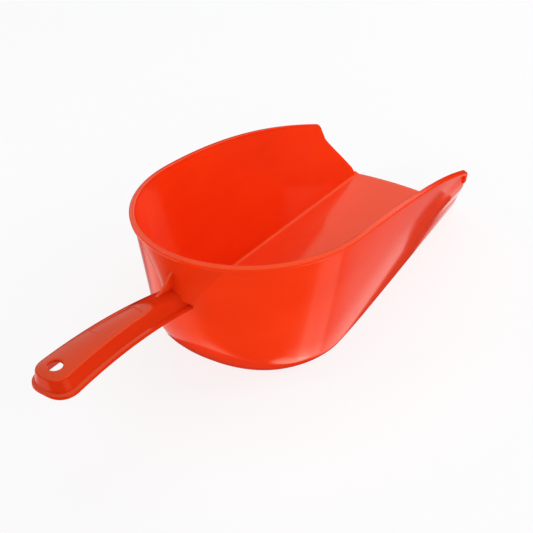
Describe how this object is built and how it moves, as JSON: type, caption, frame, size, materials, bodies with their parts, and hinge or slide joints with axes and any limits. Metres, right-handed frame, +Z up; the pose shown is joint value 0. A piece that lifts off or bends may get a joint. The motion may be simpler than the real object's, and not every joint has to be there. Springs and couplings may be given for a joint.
{
  "type": "hand scoop",
  "caption": "Large moulded plastic hand scoop: open bowl with a half-round back, flat floor, rolled rim lip and a short hollow-backed handle.",
  "frame": {"origin": "on the resting plane, on the mid-plane, below the centre of the bowl's half-round back", "axes": "+X from the handle towards the open mouth, +Z up, +Y to the left when looking out of the mouth"},
  "size_m": [0.4035, 0.16, 0.113],
  "materials": {
    "moulded_plastic": "gloss"
  },
  "bodies": {
    "root": {"bowl_shell": "moulded_plastic", "rim_lip": "moulded_plastic", "handle_channel": "moulded_plastic", "handle_root_pad": "moulded_plastic", "root_gusset": "moulded_plastic"}
  },
  "joints": []
}
